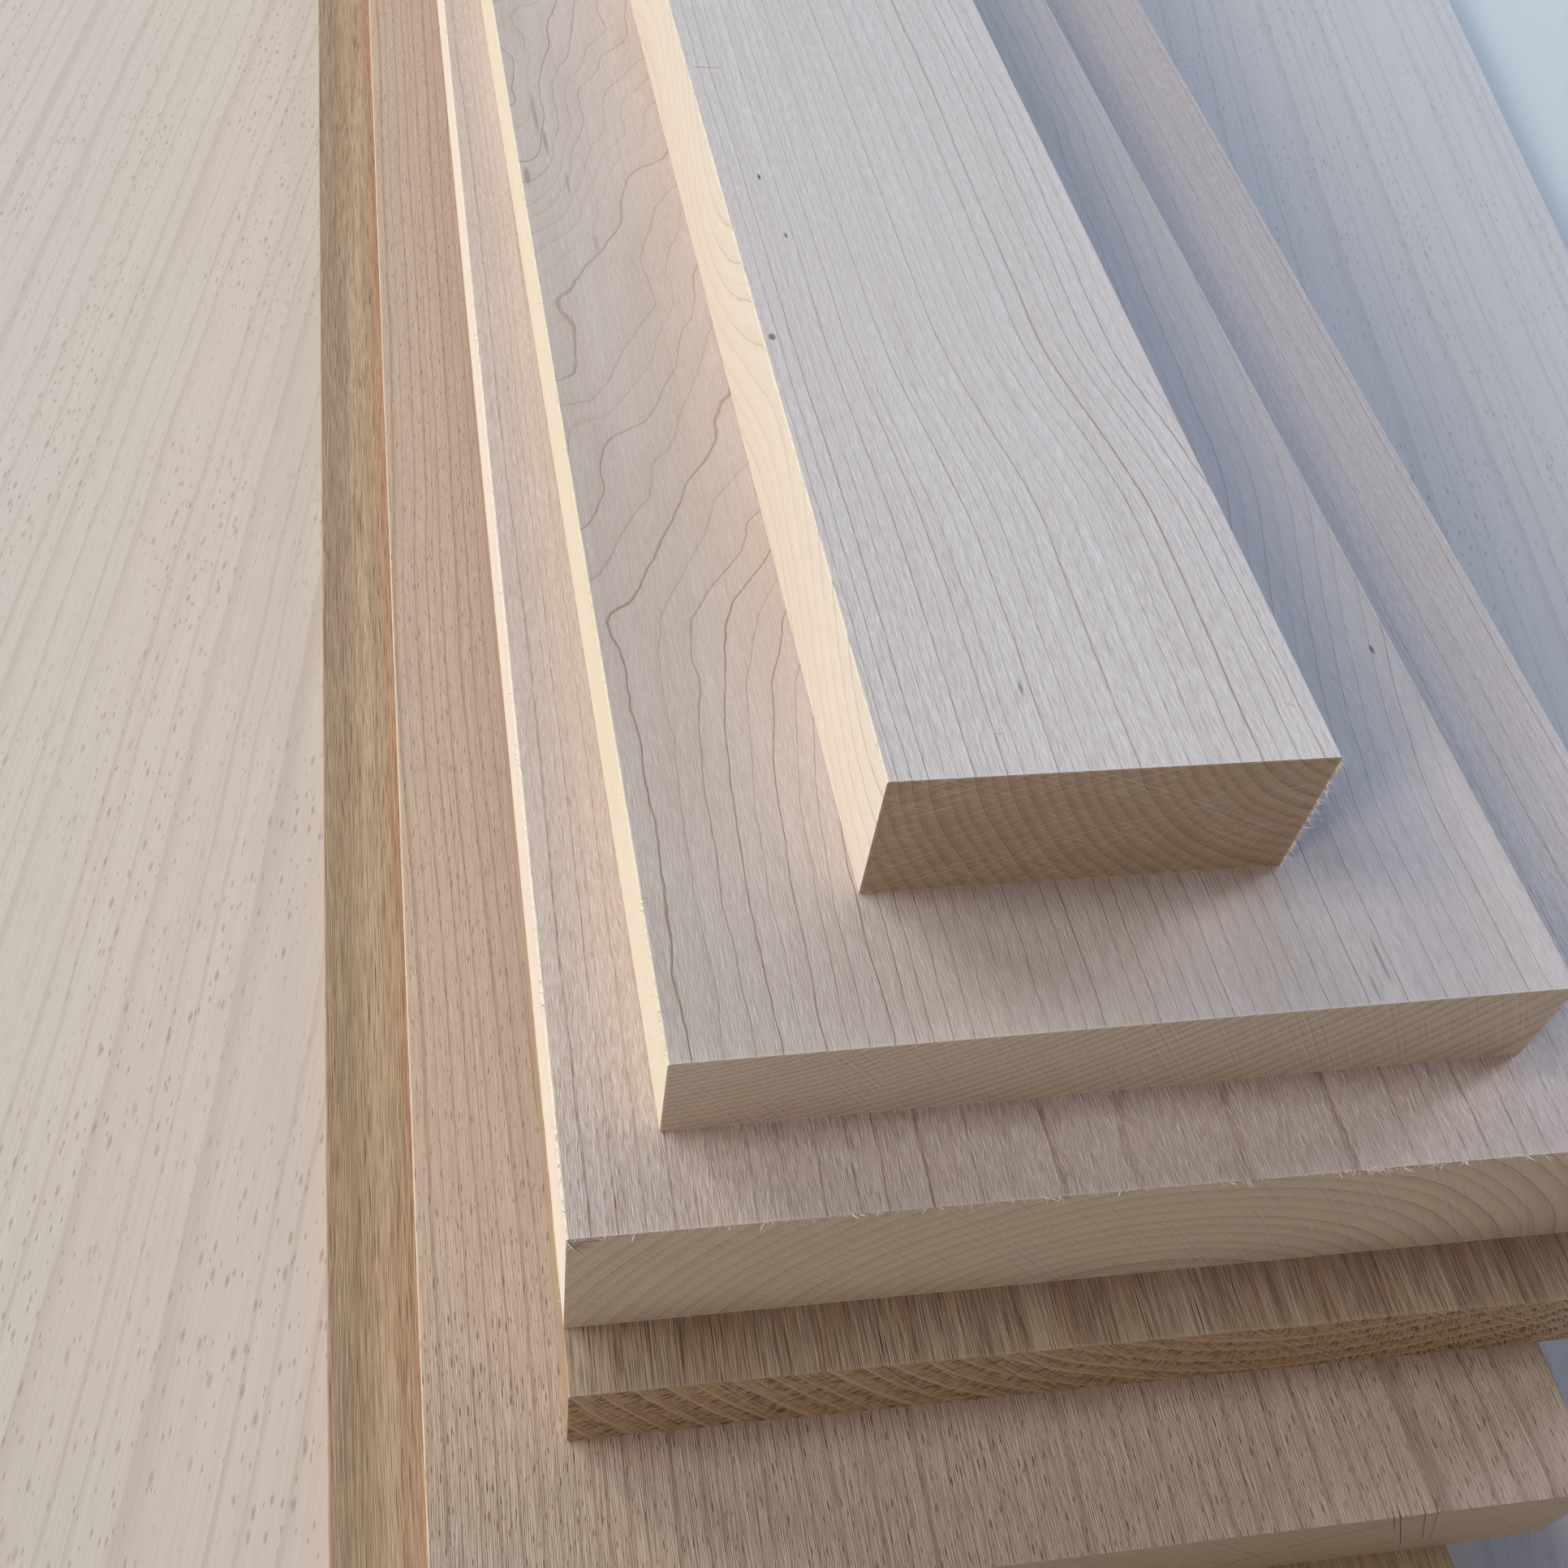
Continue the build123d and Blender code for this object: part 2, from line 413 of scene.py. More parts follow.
dress("oak_board_lower", oak_wood(
    "oak_lower", corner=(-161.5 * MM, -534.4 * MM, 18 * MM), turn=-1.08,
    size=(200 * MM, 1000 * MM, 20 * MM), pith=(90 * MM, 0, 130 * MM), lean=(0.01, 0, 0.03),
    ring=4.5 * MM, light=(0.53, 0.395, 0.27, 1), dark=(0.38, 0.265, 0.165, 1),
    red=(0.44, 0.26, 0.155, 1), pore=(0.18, 0.11, 0.06, 1), end=(0.34, 0.23, 0.14, 1), stripes_and_painted_glow=(
        (0.0030, 0.0045, (0.27, 0.185, 0.105, 1), 0.55),
        (0.0168, 0.0022, (0.46, 0.22, 0.12, 1), 0.5),
        (0.0105, 0.0022, (0.60, 0.46, 0.32, 1), 0.2))))


# The beech board lies on the lower oak board. It is planed beech: its flat faces are full of
# short dark ray flecks, and its sawn end has opened in four thin drying checks near the right.

beech_corner = (-143.4 * MM, -508.3 * MM, 38 * MM)
beech_size = (200.7 * MM, 1000 * MM, 23.5 * MM)
beech_turn = -1.17
beech_dark = (0.28, 0.18, 0.12, 1)
wood, tree, shader, place, (_, along, _) = new_wood("beech", beech_corner, beech_turn)
from_front = parts(tree, place)[1]
rings = use(tree, growth_rings, Place=place, Pith=(224 * MM, 0, -103 * MM), Lean=(0.01, 0, 0.02),
            Ring_Width=0.0022, Wander=0.0025, Wander_Size=(0.08, 0.3, 0.08), Ripple=0.0002,
            Ripple_Size=(0.01, 0.04, 0.01), Uneven=0.5)
rough = ease(tree, from_front, 0.02, 0.09, 3.8, 1.5)
streak = use(tree, fibres, Place=place, Size=(0.0002, 0.007, 0.0002), Contrast=rough)["Streak"]
long = use(tree, fibres, Place=place, Size=(0.0007, 0.05, 0.0007), Contrast=1.2)["Streak"]
wide = use(tree, fibres, Place=place, Size=(0.005, 0.25, 0.005), Contrast=1.6)["Streak"]
spots = use(tree, flecks, Place=flat(tree, place), Size=(0.0012, 0.0095, 1), Amount=0.13, Blur=0.5)
small = use(tree, flecks, Place=flat(tree, place), Size=(0.0007, 0.0055, 1), Amount=0.15, Blur=0.6)
mark = calc(tree, "MAXIMUM", spots["Mask"], calc(tree, "MULTIPLY", small["Mask"], 0.8))
late = band(tree, rings["Phase"], 0.7, 0.95, 0.96, 1.0)
face = tint(tree, calc(tree, "ADD", wide, 0.5), (0.60, 0.45, 0.355, 1), (0.53, 0.39, 0.305, 1))
face = tint(tree, calc(tree, "MULTIPLY", late, 0.5), face, (0.27, 0.165, 0.11, 1))
face = tint(tree, calc(tree, "MULTIPLY_ADD", streak, 0.55, 0.12), face, (0.26, 0.18, 0.13, 1))
face = tint(tree, calc(tree, "MULTIPLY", streak, -0.35), face, (0.86, 0.74, 0.65, 1))
face = tint(tree, calc(tree, "MULTIPLY_ADD", long, 0.7, 0.04), face, (0.30, 0.19, 0.13, 1))
seen = ease(tree, from_front, 0.02, 0.10, 0.88, 0.5)
face = tint(tree, calc(tree, "MULTIPLY", mark, seen), face, (0.19, 0.10, 0.06, 1))
ringed = tint(tree, calc(tree, "MULTIPLY", late, 0.35), (0.52, 0.40, 0.29, 1), beech_dark)
ringed = tint(tree, calc(tree, "MULTIPLY", streak, 0.3), ringed, beech_dark)
saw = use(tree, saw_marks, Place=place, Blade=(0.3, 0, -0.1), Gap=0.0005)
ringed = tint(tree, calc(tree, "MULTIPLY", saw["Scratch"], 0.4), ringed, (0.66, 0.54, 0.42, 1))
ringed = tint(tree, calc(tree, "MULTIPLY", saw["Groove"], 0.3), ringed, beech_dark)
edge = use(tree, edge_wear, Place=place, Piece=beech_size, Reach=0.0006)["Edge"]
colour = tint(tree, sawn_end(tree, along), face, ringed)
colour = tint(tree, calc(tree, "MULTIPLY", edge, 0.3), colour, (0.75, 0.64, 0.50, 1))
finish_wood(tree, shader, colour, 0.55, calc(tree, "SUBTRACT", streak, mark), 0.00006)
dress("beech_board", wood)


# The upper oak board lies on the beech. It is thin planed oak, with long fine pores on its face
# and rows of dark dashes on its sawn end.

dress("oak_board_upper", oak_wood(
    "oak_upper", corner=(-119.5 * MM, -480.2 * MM, 61.5 * MM), turn=-1.01,
    size=(200 * MM, 1000 * MM, 19.6 * MM), pith=(127 * MM, 0, 80 * MM), lean=(0.01, 0, 0.02),
    ring=4.5 * MM, light=(0.51, 0.39, 0.28, 1), dark=(0.31, 0.21, 0.135, 1),
    red=(0.38, 0.19, 0.11, 1), pore=(0.10, 0.055, 0.03, 1), end=(0.43, 0.28, 0.15, 1)))


# The low maple board lies on the oak, thick and wide. It came from the planer with its whitish
# top still full of torn fibres, and its end shows the rings, the rays and the marks of the saw.

def maple_wood(name, corner, turn, size, pith, ring, wander, wander_size, pale, warm, line, end,
               blush, lit_flank, blade, lines, torn, side, widening=0.001, uneven=0.35, end_lines=0.5,
               between=0.45, streaky=0.6, grain=0.3, scratched=0.5, thin=0.88, bend=None, marks=()):
    """Planed maple: pale, with a thin darker line where each year ends.

    Its colours are those of pale and warm wood, the lines, the sawn ends, the blush of its patches
    and the lit_flank, painted light on its narrow edges that stands in for the warm light falling
    on them. The blade is the middle of the saw blade that marked its ends.
    Lines, end_lines and between say how strong the lines are on the faces, on the ends and within a
    year, streaky and grain the long and the short streaks, torn and scratched the torn fibres and
    the saw marks, and side how far the narrow edges take the painted lit_flank colour. A line
    starts at the share thin of its year.
    Bend turns the grain. A mark has its middle, half its size each way and its strength."""
    white = (0.88, 0.83, 0.81, 1)
    wood, tree, shader, place, (across, along, _) = new_wood(name, corner, turn)
    from_front = parts(tree, place)[1]
    facing_side = calc(tree, "ABSOLUTE", across)
    grown = bend(tree, place) if bend else place
    rings = use(tree, growth_rings, Place=grown, Pith=pith, Ring_Width=ring, Wander=wander,
                Wander_Size=wander_size, Ripple=0.00014, Ripple_Size=(0.006, 0.014, 0.006),
                Uneven=uneven, Widening=widening)
    phase = rings["Phase"]
    calm = calc(tree, "MULTIPLY_ADD", facing_side, -0.65, 1.0)
    rough = ease(tree, from_front, 0.02, 0.10, 1.25, 0.7)
    contrast = calc(tree, "MULTIPLY", calc(tree, "MULTIPLY", calm, rough), 2.6)
    streak = use(tree, fibres, Place=place, Size=(0.00019, 0.0032, 0.00019),
                 Contrast=contrast)["Streak"]
    long = use(tree, fibres, Place=place, Size=(0.0006, 0.07, 0.0006),
               Contrast=calc(tree, "MULTIPLY", calm, 1.1))["Streak"]
    wide = use(tree, fibres, Place=place, Size=(0.006, 0.22, 0.006), Contrast=1.2)["Streak"]
    wool = use(tree, fibres, Place=place, Size=(0.00018, 0.0028, 0.00018),
               Contrast=calc(tree, "MULTIPLY", rough, 3.2))["Streak"]
    strength = calc(tree, "MULTIPLY_ADD", rings["Year"], 0.6, 0.4)
    strength = calc(tree, "MULTIPLY", strength, ease(tree, from_front, 0.05, 0.16, 1.25, 0.85))
    late = calc(tree, "MULTIPLY", band(tree, phase, thin, 0.96, 0.965, 1.0), strength)
    late = calc(tree, "MULTIPLY", late, calc(tree, "MULTIPLY_ADD", facing_side, -0.35, 1.0))
    soft = band(tree, phase, 0.35, 0.95, 0.965, 1.0)
    summer = band(tree, phase, 0.38, 0.46, 0.47, 0.52)
    summer = calc(tree, "MULTIPLY", summer, ease(tree, rings["Year"], 0.3, 0.9))
    sawn = sawn_end(tree, along)
    face = tint(tree, calc(tree, "ADD", wide, 0.45), pale, warm)
    patch = ease(tree, cloud(tree, place, (0.03, 0.09, 0.03), 2.0), 0.42, 0.68, 0.0, 0.35)
    face = tint(tree, patch, face, blush)
    # Painted light: the narrow edges are tinted toward the lit_flank tone, which stands in for the
    # warm light from the left that makes the left edges bright.
    face = tint(tree, calc(tree, "MULTIPLY", facing_side, side), face, lit_flank)
    face = tint(tree, calc(tree, "MULTIPLY", soft, 0.06), face, line)
    face = tint(tree, calc(tree, "MULTIPLY", late, lines), face, line)
    face = tint(tree, calc(tree, "MULTIPLY", summer, lines * between), face, line)
    face = tint(tree, calc(tree, "MULTIPLY_ADD", streak, grain, 0.08), face, line)
    face = tint(tree, calc(tree, "MULTIPLY", streak, -grain), face, white)
    face = tint(tree, calc(tree, "MULTIPLY_ADD", long, streaky, 0.04), face, line)
    face = tint(tree, calc(tree, "MULTIPLY_ADD", wool, torn, torn * 0.3), face, white)
    for middle, half, mark_strength in marks:
        off = calc3(tree, "DIVIDE", calc3(tree, "SUBTRACT", place, middle), half)
        dark = ease(tree, calc3(tree, "LENGTH", off), 0.35, 1.0, mark_strength, 0.0)
        face = tint(tree, dark, face, (0.09, 0.055, 0.045, 1))
    ringed = tint(tree, calc(tree, "MULTIPLY", soft, end_lines * 0.7), end, line)
    ringed = tint(tree, calc(tree, "MULTIPLY", late, end_lines), ringed, line)
    ringed = tint(tree, calc(tree, "MULTIPLY", streak, 0.5), ringed, line)
    ringed = tint(tree, calc(tree, "MULTIPLY", streak, -0.4), ringed, pale)
    angle, _, radius = parts(tree, rings["Polar"])
    section = whole(tree, angle, radius, 0.0)
    rays = use(tree, flecks, Place=section, Size=(0.0007, 0.009, 1), Amount=0.5, Blur=0.8)["Mask"]
    ringed = tint(tree, calc(tree, "MULTIPLY", rays, 0.22), ringed, pale)
    crossing = (0.06 - blade[0], 0, blade[2] * 1.5)
    for middle, gap, share in ((blade, 0.0005, 1.0), (crossing, 0.0006, 0.8)):
        saw = use(tree, saw_marks, Place=place, Blade=middle, Gap=gap)
        scratch = calc(tree, "MULTIPLY", saw["Scratch"], scratched * share)
        groove = calc(tree, "MULTIPLY", saw["Groove"], scratched * share * 0.45)
        ringed = tint(tree, groove, tint(tree, scratch, ringed, pale), line)
    edge = use(tree, edge_wear, Place=place, Piece=size, Reach=0.0005)["Edge"]
    colour = tint(tree, sawn, face, ringed)
    colour = tint(tree, calc(tree, "MULTIPLY", edge, 0.25), colour, (0.80, 0.72, 0.62, 1))
    relief = calc(tree, "ADD", calc(tree, "MULTIPLY", wool, torn), streak)
    height = calc(tree, "SUBTRACT", calc(tree, "ADD", relief, long), late)
    finish_wood(tree, shader, colour, 0.5, height, 0.00003)
    return wood


low_corner = (-119.1 * MM, -468.7 * MM, 81.1 * MM)
low_turn = -0.86
dress("maple_board_low", maple_wood(
    "maple_low", low_corner, low_turn, size=(199.2 * MM, 1000 * MM, 31.4 * MM),
    pith=(100 * MM, 0, -40 * MM), ring=3.2 * MM, wander=0.0012, wander_size=(0.05, 0.25, 0.05),
    pale=(0.64, 0.51, 0.45, 1), warm=(0.52, 0.37, 0.30, 1), line=(0.28, 0.155, 0.105, 1),
    end=(0.62, 0.51, 0.37, 1), blush=(0.52, 0.40, 0.345, 1), lit_flank=(0.95, 0.90, 0.76, 1),
    blade=(0.22, 0, -0.12), lines=0.75, torn=0.45, end_lines=0.35, side=0.5))


# The planer and the saw have torn fibres loose on the low maple board. They are thin pale hairs:
# a fuzz that lies on its top where it shows, a fringe along its end and some on its left edge.

maple_fibre = bpy.data.materials.new("maple_fibre")
maple_fibre.use_nodes = True
tree = maple_fibre.node_tree
shader = tree.nodes["Principled BSDF"]
coords = tree.nodes.new("ShaderNodeTexCoord")
uneven = cloud(tree, coords.outputs["Object"], (0.002, 0.004, 0.002), 2.0)
colour = tint(tree, ease(tree, uneven, 0.3, 0.7), (0.62, 0.54, 0.46, 1), (0.86, 0.80, 0.72, 1))
put(tree, shader.inputs["Base Color"], colour)
put(tree, shader.inputs["Roughness"], ease(tree, uneven, 0.3, 0.7, 0.65, 0.8))


def torn_fibres(name, corner, turn, hairs):
    """One piece made of thin tapering hairs, with the maple fibre finish.

    Each hair has its root in the board's own millimetres, its direction, its bend, its length and
    its thickness. They are mesh code, because there are thousands of them, of a few faces each."""
    points, faces = [], []
    for root, aim, bend, length, thick in hairs:
        root, aim, bend = Vector(root), Vector(aim).normalized(), Vector(bend)
        side = aim.cross(Vector((0.31, 0.2, 0.93))).normalized()
        lift = side.cross(aim)
        first = len(points)
        for step, share in ((0.0, 1.0), (0.4, 0.85), (0.75, 0.55)):
            middle = root + length * (aim * step + bend * step * step)
            for out in (side * 0.5 + lift * 0.3, -side * 0.5 + lift * 0.3, -lift * 0.5):
                points.append(middle + out * thick * share)
        points.append(root + length * (aim + bend))
        for ring in (first, first + 3):
            for k in range(3):
                after = (k + 1) % 3
                faces.append((ring + k, ring + after, ring + 3 + after, ring + 3 + k))
        faces += [(first + 6 + k, first + 6 + (k + 1) % 3, first + 9) for k in range(3)]
        faces.append((first + 2, first + 1, first))
    mesh = bpy.data.meshes.new(name)
    mesh.from_pydata([point * MM for point in points], [], faces)
    mesh.transform(Matrix.Translation(corner) @ Matrix.Rotation(radians(turn), 4, "Z"))
    mesh.materials.append(maple_fibre)
    piece = bpy.data.objects.new(name, mesh)
    bpy.context.scene.collection.objects.link(piece)
    bpy.ops.object.select_all(action="DESELECT")
    bpy.context.view_layer.objects.active = piece
    piece.select_set(True)
    bpy.ops.object.mode_set(mode="EDIT")
    bpy.ops.mesh.select_all(action="SELECT")
    bpy.ops.mesh.normals_make_consistent(inside=False)
    bpy.ops.object.mode_set(mode="OBJECT")
    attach(piece, "root")


chance = random.Random(7)
low_top = 31.4


def lying_hair(across, along, longest):
    """A fibre on the board's top, laid along the grain by the planer and mostly to the front."""
    return ((across, along, low_top - 0.02),
            (chance.gauss(0, 0.10), -1 if chance.random() < 0.75 else 1,
             chance.uniform(0.02, 0.12)),
            (chance.gauss(0, 0.06), 0, chance.uniform(-0.06, 0.03)),
            chance.uniform(0.8, longest), chance.uniform(0.05, 0.11))


hairs = [lying_hair(chance.uniform(0.5, 198.5), chance.uniform(0.3, 19), 3.2) for _ in range(1500)]
hairs += [lying_hair(chance.uniform(0.3, 16.5), 17 + 500 * chance.random() ** 1.5, 3.4)
          for _ in range(1300)]
behind_end = [hair for hair in hairs if hair[0][1] + hair[3] * hair[1][1] > 0.2]
torn_fibres("maple_low_fuzz", low_corner, low_turn, behind_end)

hairs = []
for _ in range(420):
    across = chance.uniform(0.2, 199)
    splinter = chance.random() < 0.22
    root = (across, 0.12, low_top - abs(chance.gauss(0, 0.22)))
    hairs.append((root, (chance.gauss(0, 0.7), -1, chance.gauss(0.05, 0.5)),
                  (chance.gauss(0, 0.35), 0, chance.gauss(-0.1, 0.35)),
                  chance.uniform(0.7, 1.7) if splinter else chance.uniform(0.25, 0.8),
                  chance.uniform(0.10, 0.24) if splinter else chance.uniform(0.06, 0.13)))
tuft_middle = 126.7
for _ in range(45):
    root = (chance.gauss(tuft_middle, 3.2), 0.1, low_top - abs(chance.gauss(0, 0.3)))
    hairs.append((root, (chance.gauss(0.3, 0.8), -1, chance.gauss(0.2, 0.6)),
                  (chance.gauss(0, 0.5), 0.2, chance.gauss(-0.1, 0.5)), chance.uniform(0.8, 2.6),
                  chance.uniform(0.08, 0.2)))
corner_splinters = [((0.3, 0.1, 29.8), (0.7, -0.6, -0.25), (0.2, 0, -0.3), 2.6, 0.36),
                    ((0.2, 0.1, 30.3), (0.4, -0.9, 0.15), (0.3, 0, -0.2), 1.7, 0.25),
                    ((0.6, 0.1, 29.3), (0.5, -0.6, -0.5), (0.4, 0, 0.1), 1.6, 0.2)]
torn_fibres("maple_low_fringe", low_corner, low_turn, hairs + corner_splinters)


def edge_hairs(count, reach, crowding, upper, lower, longest, thickest):
    """Fibres on a board's left edge, closer together near its front. Two in three are at one of the
    upper heights, by the top, and the others lower down."""
    hairs = []
    for _ in range(count):
        along = 1 + reach * chance.random() ** crowding
        up = chance.choice((*upper, chance.uniform(0.3, lower)))
        hairs.append(((0.12, along, up), (-1, chance.gauss(0, 1.4), chance.gauss(0.1, 0.5)),
                      (chance.gauss(0.1, 0.3), chance.gauss(0, 0.5), chance.gauss(0, 0.3)),
                      chance.uniform(0.3, longest), chance.uniform(0.05, thickest)))
    return hairs


def stray_hairs(places, up, out, sag, thick):
    """Long single fibres on a board's left edge, each by how far back it is and its length."""
    return [((0.1, along, up), (-out, chance.uniform(-0.8, 0.8), 0.5),
             (sag, chance.uniform(-0.4, 0.4), 0.2), length, thick) for along, length in places]


hairs = edge_hairs(420, reach=620, crowding=1.4, upper=(31.2, 31.3), lower=31, longest=1.3,
                   thickest=0.11)
strays = ((41, 4.2), (43.5, 3.2), (92, 2.4), (150, 2.2), (165, 3.0), (168, 4.4), (260, 3.0))
hairs += stray_hairs(strays, up=31.3, out=0.6, sag=0.9, thick=0.13)
torn_fibres("maple_low_edge_fuzz", low_corner, low_turn, hairs)


# The middle maple board lies on the low one, thinner, planed smooth and curly: the tree's grain
# turned about a branch, so its lines swing widely at the left and run straight at the front right.

def curl(tree, place):
    """The turn of the grain about a branch near the board's left edge."""
    across, along, _ = parts(tree, place)
    branch, branch_reach, natural_base = (0.002, 0.252, 0.012), (0.011, 0.03, 0.05), 2.718
    rise = calc(tree, "MAXIMUM", calc(tree, "SUBTRACT", along, 0.09), 0.0)
    rise = calc(tree, "MULTIPLY", rise, 0.052)
    off = calc3(tree, "DIVIDE", calc3(tree, "SUBTRACT", place, branch), branch_reach)
    off = calc(tree, "MULTIPLY", calc3(tree, "DOT_PRODUCT", off, off), -1.0)
    lift = calc(tree, "MULTIPLY_ADD", calc(tree, "POWER", natural_base, off), 0.003, rise)
    swing = calc(tree, "SUBTRACT", cloud(tree, place, (0.026, 0.034, 0.026), 1.0), 0.5)
    swing = calc(tree, "MULTIPLY", swing, 0.0036)
    lift = calc(tree, "MULTIPLY_ADD", swing, ease(tree, along, 0.05, 0.16, 0.12, 1.0), lift)
    slack = ease(tree, along, 0.03, 0.14, 0.0, -0.5)
    slack = calc(tree, "MULTIPLY", calc(tree, "MINIMUM", across, 0.035), slack)
    return calc3(tree, "ADD", place, whole(tree, slack, 0.0, lift))


middle_corner = (-103.3 * MM, -452.4 * MM, 112.5 * MM)
middle_turn = 0.08
dress("maple_board_middle", maple_wood(
    "maple_middle", middle_corner, middle_turn, size=(144.1 * MM, 1000 * MM, 18.8 * MM),
    pith=(-24 * MM, 0, 157 * MM), ring=1.43 * MM, wander=0.00015, wander_size=(0.05, 0.12, 0.05),
    pale=(0.67, 0.57, 0.53, 1), warm=(0.59, 0.475, 0.41, 1), line=(0.27, 0.16, 0.11, 1),
    end=(0.62, 0.505, 0.38, 1), blush=(0.50, 0.39, 0.31, 1), lit_flank=(0.78, 0.72, 0.56, 1),
    blade=(-0.25, 0, -0.2), lines=0.8, torn=0.1, widening=0.0253, uneven=0.2, between=0.0,
    streaky=0.4, side=0.6, thin=0.91, bend=curl, marks=(
        ((0.1393, 0.0756, 0.0188), (0.0006, 0.0016, 0.002), 0.8),
        ((0.1135, 0.0085, 0.0188), (0.0005, 0.0060, 0.002), 0.45),
        ((0.1105, 0.0030, 0.0188), (0.0004, 0.0040, 0.002), 0.35),
        ((0.0055, 0.2560, 0.0188), (0.0007, 0.0120, 0.002), 0.35),
        ((0.0068, 0.2440, 0.0188), (0.0007, 0.0070, 0.002), 0.4),
        ((0.0015, 0.2300, 0.0188), (0.0009, 0.0050, 0.002), 0.4),
        ((0.0100, 0.2270, 0.0188), (0.0006, 0.0060, 0.002), 0.3),
        ((0.0135, 0.2050, 0.0188), (0.0008, 0.0050, 0.002), 0.2),
        ((0.0420, 0.0000, 0.0082), (0.0010, 0.0020, 0.001), 0.7))))


def end_hairs(count, width, top):
    """Short fibres along the upper corner of a board's sawn end."""
    return [((chance.uniform(0.2, width), 0.1, top - abs(chance.gauss(0, 0.1))),
             (chance.gauss(0, 0.8), -1, chance.gauss(0.1, 0.4)),
             (chance.gauss(0, 0.3), 0, chance.gauss(-0.1, 0.3)),
             chance.uniform(0.15, 0.4), chance.uniform(0.05, 0.09)) for _ in range(count)]


hairs = edge_hairs(300, reach=500, crowding=1.4, upper=(18.6, 18.7), lower=18.5, longest=1.1,
                   thickest=0.1)
strays = ((27.5, 3.4), (29, 3.0), (31, 2.2), (83, 2.6), (199, 3.4), (203, 3.0))
hairs += stray_hairs(strays, up=18.7, out=0.5, sag=0.8, thick=0.12)
hairs += end_hairs(260, width=144, top=18.8)
torn_fibres("maple_middle_fuzz", middle_corner, middle_turn, hairs)


# The top maple board is the narrowest, and lies loose like the others. It is planed smooth, with
# many straight fine lines, a few dark specks and one splintered edge at its right end.

def wave(tree, place):
    """A wave in the grain near the front, and a slow winding of the rings along the left edge."""
    across, along, _ = parts(tree, place)
    step = ease(tree, along, 0.050, 0.110, 0.0, 0.0075)
    step = calc(tree, "MULTIPLY", step, ease(tree, across, 0.0, 0.040))
    turns = calc(tree, "SINE", calc(tree, "MULTIPLY_ADD", along, 41.0, 1.2))
    edge = calc(tree, "MULTIPLY", turns, ease(tree, across, 0.0002, 0.001, 0.005, 0.0))
    return calc3(tree, "ADD", place, whole(tree, calc(tree, "ADD", step, edge), 0.0, 0.0))


top_corner = (-69.7 * MM, -424.4 * MM, 131.3 * MM)
dress("maple_board_top", maple_wood(
    "maple_top", top_corner, 0, size=(70.1 * MM, 1000 * MM, 25.4 * MM),
    pith=(84 * MM, 0, 50 * MM), ring=2.3 * MM, wander=0.0009, wander_size=(0.04, 0.14, 0.04),
    pale=(0.74, 0.65, 0.60, 1), warm=(0.65, 0.55, 0.49, 1), line=(0.27, 0.17, 0.12, 1),
    end=(0.425, 0.30, 0.185, 1), blush=(0.68, 0.58, 0.53, 1), lit_flank=(0.65, 0.58, 0.485, 1),
    blade=(-0.1, 0, -0.3), lines=0.75, torn=0.15, uneven=0.25, end_lines=0.8, between=0.3,
    streaky=0.45, grain=0.45, scratched=0.25, side=0.8, bend=wave, marks=(
        ((0.0083, 0.1565, 0.0254), (0.0004, 0.0014, 0.002), 0.95),
        ((0.0100, 0.1365, 0.0254), (0.0004, 0.0012, 0.002), 0.8),
        ((0.0018, 0.1049, 0.0254), (0.0009, 0.0014, 0.002), 0.8),
        ((0.0243, 0.0170, 0.0254), (0.00035, 0.0020, 0.002), 0.6))))


hairs = []
for _ in range(170):
    up = chance.uniform(0.4, 25.3)
    grown = 0.5 + 1.1 * chance.random() ** 2 * (1.6 if 8 < up < 21 else 0.7)
    hairs.append(((69.95, 0.1, up), (1.0, chance.gauss(-0.5, 0.6), chance.gauss(0, 0.6)),
                  (chance.gauss(0, 0.4), chance.gauss(-0.1, 0.4), chance.gauss(0, 0.5)), grown,
                  chance.uniform(0.06, 0.16)))
hairs += end_hairs(130, width=70, top=25.4)
hairs += edge_hairs(200, reach=420, crowding=1.3, upper=(25.2, 25.3), lower=25, longest=1.0,
                    thickest=0.09)
loose_on_top = [((1.7, 198.1, 25.42), (1, -0.08, 0.0), (0, 0.06, 0.01), 6.0, 0.16),
                ((17.9, 8.3, 25.42), (1, -0.3, 0.02), (0.1, 0.3, 0.0), 1.8, 0.1),
                ((64.6, 12.2, 25.42), (0.8, -0.8, 0.02), (0, 0.2, 0.0), 1.6, 0.3),
                ((65.3, 11.4, 25.42), (0.9, -0.4, 0.02), (0, -0.2, 0.0), 1.2, 0.3),
                ((0.2, 92.0, 25.4), (-0.3, 1, 0.3), (0.5, 0.3, 0.1), 3.6, 0.1)]
torn_fibres("maple_top_fuzz", top_corner, 0, hairs + loose_on_top)


# The stack stands on the pale floor of a plain room. Daylight falls from a window behind it on
# the left, warm light comes back from the walls on the left and in front, and cool light from
# the sky on the right and behind.

def lamp(name, place, aim, width, depth, power, colour):
    """A soft area light at a place, turned to what it lights."""
    data = bpy.data.lights.new(name, "AREA")
    data.shape = "RECTANGLE"
    data.size = width
    data.size_y = depth
    data.energy = power
    data.color = colour
    light = bpy.data.objects.new(name, data)
    bpy.context.scene.collection.objects.link(light)
    light.location = place
    light.rotation_euler = (Vector(aim) - light.location).to_track_quat("-Z", "Y").to_euler()


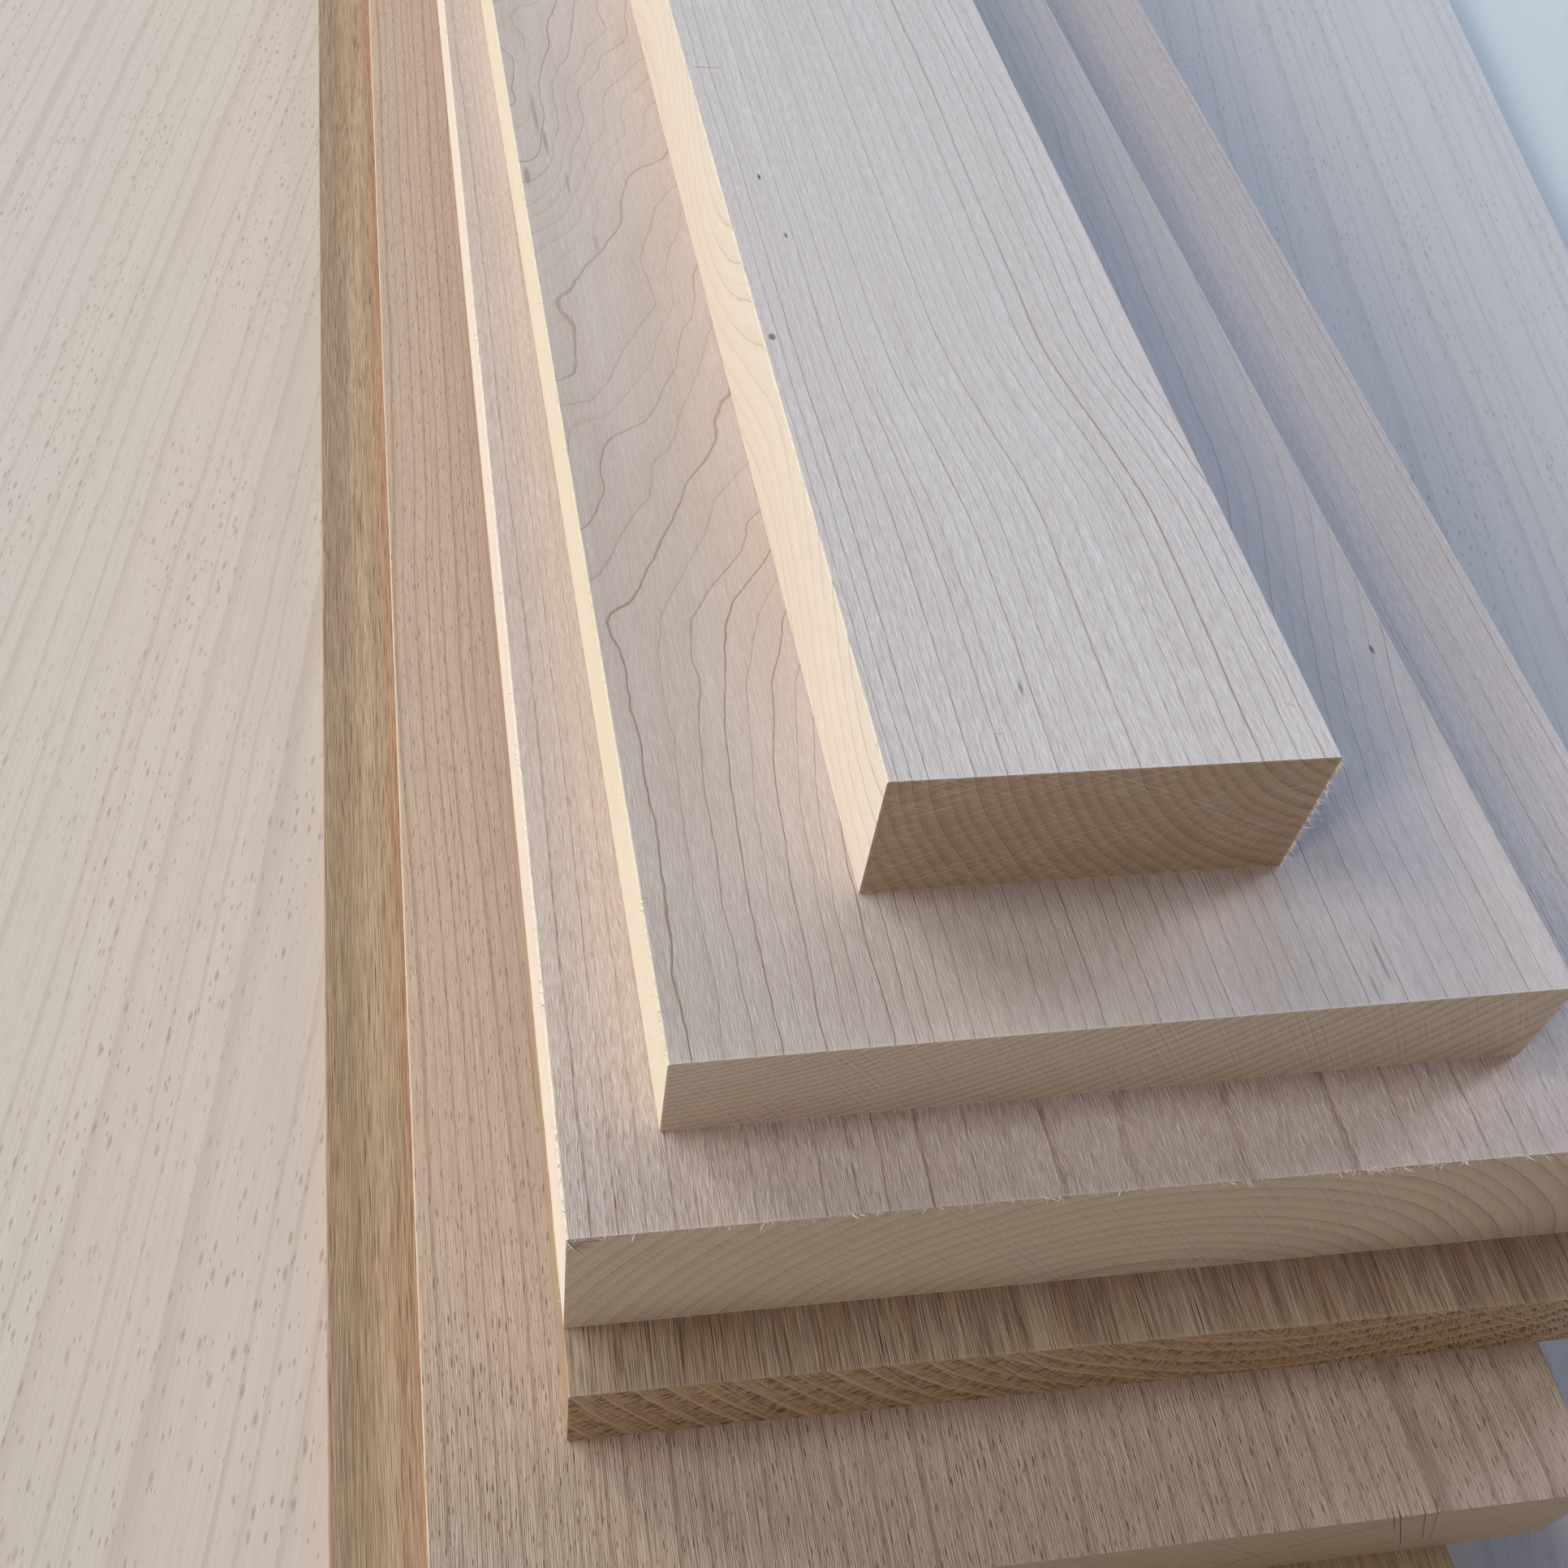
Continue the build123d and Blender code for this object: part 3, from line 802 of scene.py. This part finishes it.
bpy.ops.object.select_all(action="DESELECT")
bpy.ops.mesh.primitive_plane_add(size=12)
floor = bpy.context.active_object
floor.name = "floor"
floor_paint = bpy.data.materials.new("floor_paint")
floor_paint.use_nodes = True
tree = floor_paint.node_tree
coords = tree.nodes.new("ShaderNodeTexCoord")
mottle = cloud(tree, coords.outputs["Object"], (0.4, 0.4, 0.4), 3.0)
put(tree, tree.nodes["Principled BSDF"].inputs["Base Color"],
    tint(tree, mottle, (0.61, 0.59, 0.555, 1), (0.67, 0.65, 0.61, 1)))
tree.nodes["Principled BSDF"].inputs["Roughness"].default_value = 0.8
floor.data.materials.append(floor_paint)

middle = (0, -0.2, 0.1)
lamp("window_back", (-1.6, 1.3, 1.3), middle, 1.1, 0.7, 31.9, (0.965, 1.0, 0.95))
lamp("window_high", (-1.91, -0.03, 1.71), middle, 0.6, 0.6, 11.4, (1.0, 0.90, 0.58))
lamp("window_top", (-1.25, -0.09, 2.27), middle, 0.8, 0.8, 16.8, (0.63, 0.80, 1.0))
lamp("wall_low", (-2.45, -0.63, 0.32), middle, 0.6, 0.3, 13.3, (1.0, 0.88, 0.75))
lamp("wall_front", (-1.92, -1.55, 0.96), middle, 0.6, 0.6, 26.3, (1.0, 0.92, 0.89))
lamp("sky_right", (2.21, 0.60, 0.96), middle, 0.6, 0.6, 32.2, (0.775, 0.837, 1.0))
lamp("sky_right_back", (1.7, 1.4, 1.2), middle, 1.4, 1.0, 12.7, (0.12, 0.44, 1.0))
lamp("sky_back", (0.3, 1.7, 1.7), middle, 1.6, 1.2, 13.3, (0.43, 0.68, 1.0))
world = bpy.data.worlds.new("room")
world.use_nodes = True
world.node_tree.nodes["Background"].inputs["Color"].default_value = (0.8, 0.8, 1.0, 1)
world.node_tree.nodes["Background"].inputs["Strength"].default_value = 0.01
bpy.context.scene.world = world

# The lens, the place and the turns of the camera come from the boards' edges in the photograph.
camera_place = (-0.13303, -0.57453, 0.32620)
camera_heading, camera_down, camera_roll = -17.628, 55.459, 10.094
camera_data = bpy.data.cameras.new("camera")
camera_data.sensor_width = 36
camera_data.lens = 37.66
camera_data.shift_x = 0.0300
camera_data.shift_y = 0.1539
camera_data.clip_start = 0.01
camera = bpy.data.objects.new("camera", camera_data)
bpy.context.scene.collection.objects.link(camera)
turned = (Matrix.Rotation(radians(camera_heading), 4, "Z")
          @ Matrix.Rotation(radians(90 - camera_down), 4, "X")
          @ Matrix.Rotation(radians(camera_roll), 4, "Z"))
camera.matrix_world = Matrix.Translation(camera_place) @ turned
bpy.context.scene.camera = camera
bpy.context.scene.view_settings.view_transform = "Standard"
